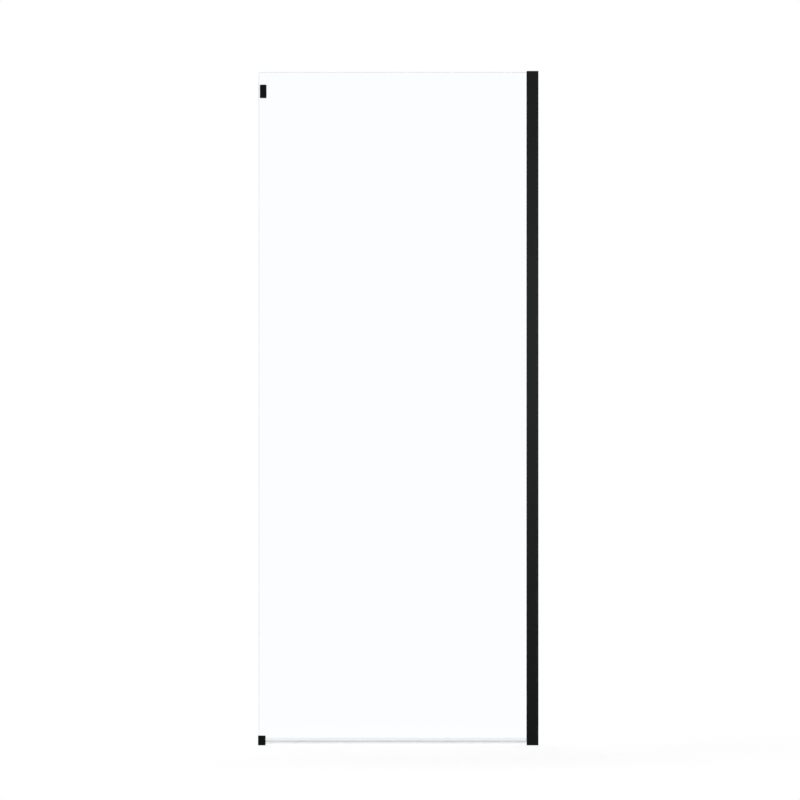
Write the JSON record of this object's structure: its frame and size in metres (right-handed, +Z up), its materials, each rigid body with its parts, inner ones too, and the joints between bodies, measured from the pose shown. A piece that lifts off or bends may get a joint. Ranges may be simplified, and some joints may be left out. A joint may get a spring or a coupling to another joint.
{
  "type": "glass shower side panel",
  "caption": "Tall clear glass shower side panel in a black wall channel with sideways adjustment, a rail bracket at the top, a corner foot and a clear seal along the bottom.",
  "frame": {"origin": "on the wall plane and the tray plane, in line with the middle of the glass, at the foot of the wall channel", "axes": "+X into the wall, so the glass reaches towards -X; +Y into the shower, so -Y is the outside seen in the picture; +Z up"},
  "size_m": [0.79, 0.038, 1.9],
  "materials": {
    "powder_coat_black": "matte black powder coat on extruded aluminium",
    "die_cast_black": "matte black paint on die-cast metal",
    "nylon_black": "moulded black nylon",
    "rubber_black": "black EPDM rubber",
    "toughened_glass": "clear toughened float glass with ground edges",
    "clear_pvc": "clear extruded soft PVC",
    "stainless_steel": "turned and pressed stainless steel"
  },
  "bodies": {
    "wall_side": {"wall_channel": "powder_coat_black", "channel_top_cap": "nylon_black", "channel_foot": "nylon_black", "cover_strip": "powder_coat_black"},
    "pane_side": {"glass_pane": "toughened_glass", "glass_profile": "powder_coat_black", "glass_profile_cap": "nylon_black", "gasket_front": "rubber_black", "gasket_rear": "rubber_black", "pane_setting_block": "nylon_black", "clamp_screws": "stainless_steel", "clamp_washers": "stainless_steel", "clamp_nuts": "stainless_steel", "bottom_seal": "clear_pvc", "bracket_plate": "die_cast_black", "bracket_gasket_front": "rubber_black", "bracket_gasket_rear": "rubber_black", "bracket_bush": "nylon_black", "rail_socket": "die_cast_black", "bracket_bolt": "stainless_steel", "rail_grub_screw": "stainless_steel", "foot_block": "die_cast_black", "foot_pressure_plate": "stainless_steel", "foot_grub_screws": "stainless_steel", "foot_pad_front": "rubber_black", "foot_pad_rear": "rubber_black", "foot_pad_base": "rubber_black"}
  },
  "joints": [
    {"name": "width_adjustment", "type": "slide", "parent": "wall_side", "child": "pane_side", "axis": [-1, 0, 0], "range_m": [0, 0.02]}
  ]
}
